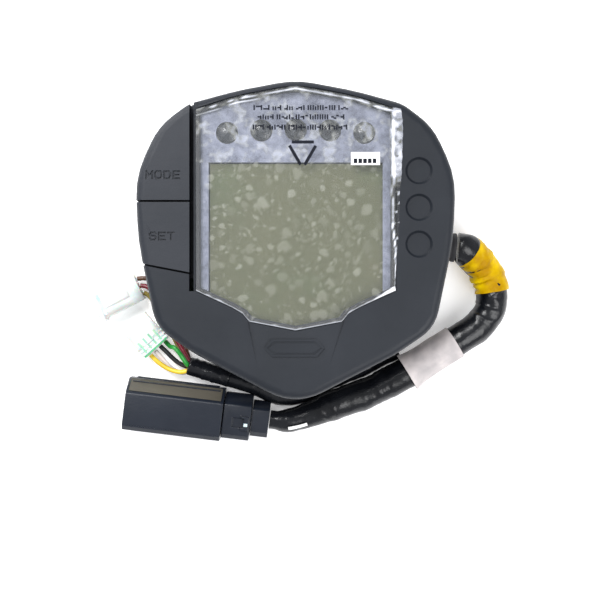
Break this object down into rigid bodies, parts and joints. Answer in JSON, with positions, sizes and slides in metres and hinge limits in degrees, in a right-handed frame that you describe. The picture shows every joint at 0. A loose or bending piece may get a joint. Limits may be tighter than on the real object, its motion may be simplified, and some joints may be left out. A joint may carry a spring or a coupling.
{
  "type": "instrument cluster",
  "caption": "Motorcycle instrument cluster: LCD in a sealed shield-shaped case with keys on the left, film-covered window, taped loom, sealed connector and nylon connectors.",
  "frame": {"origin": "middle of the case in plan, on the plane of the three rear mounting-boss faces", "axes": "+Z out of the display, +Y to the top of the display, +X to the reader's right"},
  "size_m": [0.182, 0.1505, 0.0402],
  "materials": {
    "case_black": "satin moulded, dark blue-grey",
    "key_rubber": "soft-touch matte, dark grey",
    "clear_window": "clear, polished",
    "film": "thin clear film, wrinkled and glossy",
    "mask_grey": "silver-grey print, satin",
    "smoke": "smoked, unlit",
    "lcd": "unlit olive liquid crystal",
    "white_plastic": "moulded white",
    "paper": "blank printed label, matte",
    "pcb": "green solder mask",
    "component_black": "moulded black",
    "brass": "turned",
    "screw_steel": "zinc plated",
    "seal_rubber": "matte black",
    "loom_tape": "wound black tape, wrinkled, glossy",
    "yellow_tape": "wound yellow tape, wrinkled",
    "label_lilac": "plain wrap label, pale lilac",
    "connector_black": "satin moulded, blue-black",
    "nylon": "natural nylon, slightly translucent",
    "wire_green": "extruded",
    "wire_yellow": "extruded",
    "wire_white": "extruded",
    "wire_dark": "extruded",
    "wire_red": "extruded",
    "wire_brown": "extruded",
    "wire_olive": "extruded"
  },
  "bodies": {
    "case": {"backlight_guide": "white_plastic", "blank_sticker": "paper", "branch_aux": "loom_tape", "branch_plug": "loom_tape", "cable_gland": "seal_rubber", "capacitor": "component_black", "case_gasket": "seal_rubber", "case_screw_1": "screw_steel", "case_screw_2": "screw_steel", "case_screw_3": "screw_steel", "case_screw_4": "screw_steel", "case_screw_5": "screw_steel", "case_screw_6": "screw_steel", "connector_hood": "connector_black", "connector_rear_body": "connector_black", "connector_wire_cover": "connector_black", "display_holder": "white_plastic", "display_mask": "mask_grey", "front_bezel": "case_black", "label_wrap": "label_lilac", "lcd_panel": "lcd", "lens_seal": "seal_rubber", "loom_main": "loom_tape", "main_pcb": "pcb", "microcontroller": "component_black", "mode_seal_boot": "seal_rubber", "mode_switch": "component_black", "pcb_header": "white_plastic", "protective_film": "film", "rear_cover": "case_black", "set_seal_boot": "seal_rubber", "set_switch": "component_black", "telltale_lens_1": "smoke", "telltale_lens_2": "smoke", "telltale_lens_3": "smoke", "telltale_lens_4": "smoke", "telltale_lens_5": "smoke", "telltale_light_box": "white_plastic", "terminal_carrier": "connector_black", "threaded_insert_1": "brass", "threaded_insert_2": "brass", "threaded_insert_3": "brass", "vent_cap": "seal_rubber", "white_connector_a": "nylon", "white_connector_b": "nylon", "window_lens": "clear_window", "wire_black": "wire_dark", "wire_brown": "wire_brown", "wire_green": "wire_green", "wire_olive": "wire_olive", "wire_red": "wire_red", "wire_white": "wire_white", "wire_yellow": "wire_yellow", "yellow_tape_band": "yellow_tape", "zebra_strip": "seal_rubber"},
    "mode_key_body": {"mode_key": "key_rubber"},
    "set_key_body": {"set_key": "key_rubber"},
    "mode_switch_button_body": {"mode_switch_button": "white_plastic"},
    "set_switch_button_body": {"set_switch_button": "white_plastic"}
  },
  "joints": [
    {"name": "mode_press", "type": "slide", "parent": "case", "child": "mode_key_body", "axis": [0, 0, -1], "range_m": [0, 0.001], "stiffness_N_per_m": 800, "springref_m": -0.0005, "deforming": ["mode_seal_boot"]},
    {"name": "set_press", "type": "slide", "parent": "case", "child": "set_key_body", "axis": [0, 0, -1], "range_m": [0, 0.001], "stiffness_N_per_m": 800, "springref_m": -0.0005, "deforming": ["set_seal_boot"]},
    {"name": "mode_switch_press", "type": "slide", "parent": "case", "child": "mode_switch_button_body", "axis": [0, 0, -1], "range_m": [0, 0.001]},
    {"name": "set_switch_press", "type": "slide", "parent": "case", "child": "set_switch_button_body", "axis": [0, 0, -1], "range_m": [0, 0.001]}
  ],
  "couplings": [
    {"joint": "mode_switch_press", "follows": "mode_press", "ratio": 1},
    {"joint": "set_switch_press", "follows": "set_press", "ratio": 1}
  ]
}
